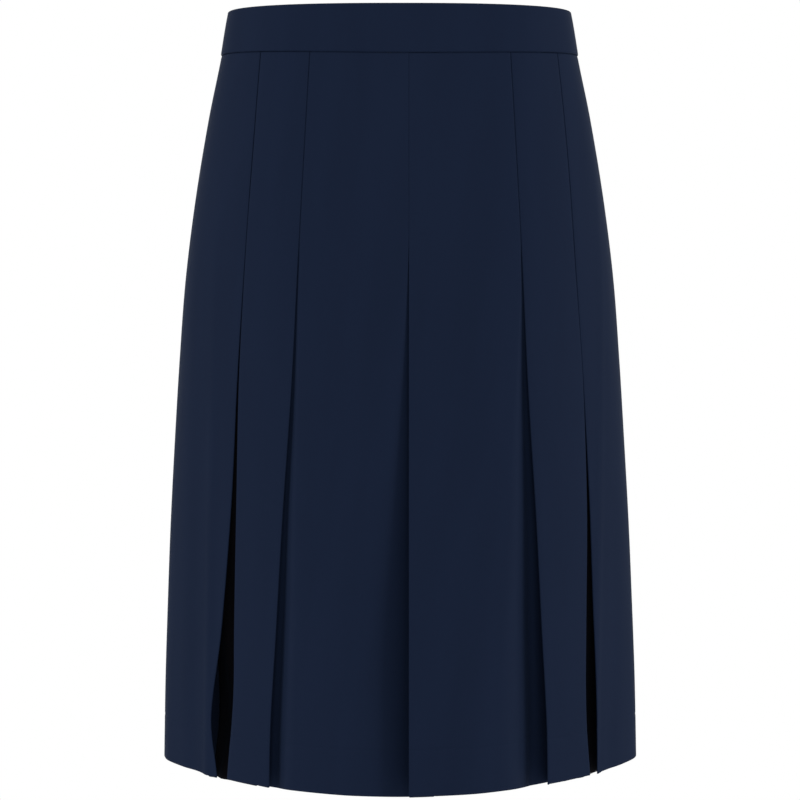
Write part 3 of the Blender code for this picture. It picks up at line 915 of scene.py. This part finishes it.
def add_ring(mesh, outer, inner, wall, centre, segments=28):
    """A flat ring that turns about X."""
    loops = []
    for radius, x in ((outer, -wall / 2), (outer, wall / 2), (inner, wall / 2), (inner, -wall / 2)):
        middle = centre + Vector((x, 0, 0))
        circle = ring_points(radius, segments)
        loops.append([mesh.verts.new(Vector(point) + middle) for point in circle])
    faces = []
    for near, far in zip(loops, loops[1:] + loops[:1]):
        for step in range(segments):
            ahead = (step + 1) % segments
            faces.append(mesh.faces.new((near[step], near[ahead], far[ahead], far[step])))
    bmesh.ops.recalc_face_normals(mesh, faces=faces)


slider_front = axis.y - PULL_AXIS_OUT - SLIDER_INSIDE
body_back = Vector((axis.x, slider_front - SLIDER_WALL, axis.z))
body_front = Vector((axis.x, slider_front - SLIDER_PLATE, axis.z))
between = Vector((axis.x, slider_front - SLIDER_WALL + SLIDER_PLATE / 2, axis.z))
shield = both_halves(SLIDER_HALF_WIDTHS)
mesh = bmesh.new()
add_plate(mesh, shield, body_back, SLIDER_PLATE, (0, 1, 0))
add_plate(mesh, shield, body_front, SLIDER_PLATE, (0, 1, 0))
add_plate(mesh, both_halves(WEDGE), between, SLIDER_WALL - SLIDER_PLATE, (0, 1, 0), FINE_EDGE)
for side in (-1, 1):
    rim = [(side * (width - FLANGE_INSET), 0.0, height) for height, width in SLIDER_HALF_WIDTHS[2:]]
    inside = [(x - side * FLANGE_WIDTH, 0.0, height) for x, _, height in reversed(rim)]
    add_plate(mesh, rim + inside, between, FLANGE_WALL, (0, 1, 0), FINE_EDGE)
neck_start = slider_front - SLIDER_PLATE / 2
neck_end = axis.y - (EYE_RADIUS + EYE_HOLE) / 2
neck = (
    (0.0, neck_start, -NECK_HEIGHT / 2),
    (0.0, neck_end, -NECK_HEIGHT / 2),
    (0.0, neck_end, NECK_HEIGHT / 2),
    (0.0, neck_start, NECK_HEIGHT / 2),
)
neck_side = Vector((axis.x - NECK_WALL / 2, 0, axis.z))
add_plate(mesh, neck, neck_side, NECK_WALL, (1, 0, 0), FINE_EDGE)
add_ring(mesh, EYE_RADIUS, EYE_HOLE, NECK_WALL, axis)
lacquer = lacquered_metal()
slider = finished("slider_body", mesh, lacquer)
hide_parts("zip_slider")


# The zip pull: a plain lacquered tab, narrow at its neck and round at its end, which hangs from the eye.
# Two cheeks and a pin hold it on the slider, and it swings up about the pin.
PIN_RADIUS = 0.0006
CHEEK_NEAR = 0.0007
CHEEK_FAR = 0.0014
CHEEK_RADIUS = 0.0015
CHEEK_LEG = 0.0032
CHEEK_LEG_WIDTH = 0.0016
PIN_EDGE = 0.00005
PULL_LENGTH = 0.022
PULL_TOP = 0.0022
PULL_TOP_HALF_WIDTH = 0.0016
PULL_END_RADIUS = 0.0028
PULL_END_DEGREES = range(-20, 201, 10)
PULL_WALL = 0.0010
PULL_EDGE = 0.00025

tab = [(-PULL_TOP_HALF_WIDTH, 0.0, -PULL_TOP)]
end_height = -(PULL_LENGTH - PULL_END_RADIUS)
for degrees in PULL_END_DEGREES:
    angle = math.radians(degrees)
    tab.append((-PULL_END_RADIUS * math.cos(angle), 0.0, end_height - PULL_END_RADIUS * math.sin(angle)))
tab.append((PULL_TOP_HALF_WIDTH, 0.0, -PULL_TOP))
mesh = bmesh.new()
add_plate(mesh, tab, axis - Vector((0, PULL_WALL / 2, 0)), PULL_WALL, (0, 1, 0), PULL_EDGE)
cheek_wall = CHEEK_FAR - CHEEK_NEAR
half_leg = CHEEK_LEG_WIDTH / 2
leg = (
    (0.0, -half_leg, 0.0),
    (0.0, half_leg, 0.0),
    (0.0, half_leg, -CHEEK_LEG),
    (0.0, -half_leg, -CHEEK_LEG),
)
for side in (-1, 1):
    near_x = axis.x + min(side * CHEEK_NEAR, side * CHEEK_FAR)
    cheek = Vector((near_x, axis.y, axis.z))
    add_plate(mesh, ring_points(CHEEK_RADIUS, 24), cheek, cheek_wall, (1, 0, 0), FINE_EDGE)
    add_plate(mesh, leg, cheek, cheek_wall, (1, 0, 0), FINE_EDGE)
# the pin's ends lie just inside the cheeks' outer faces
pin_half = CHEEK_FAR - FINE_EDGE
pin_start = axis - Vector((pin_half, 0, 0))
add_plate(mesh, ring_points(PIN_RADIUS, 16), pin_start, 2 * pin_half, (1, 0, 0), PIN_EDGE)
pull = finished("pull_tab_plate", mesh, lacquer, "pull_tab")
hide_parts("zip_pull")
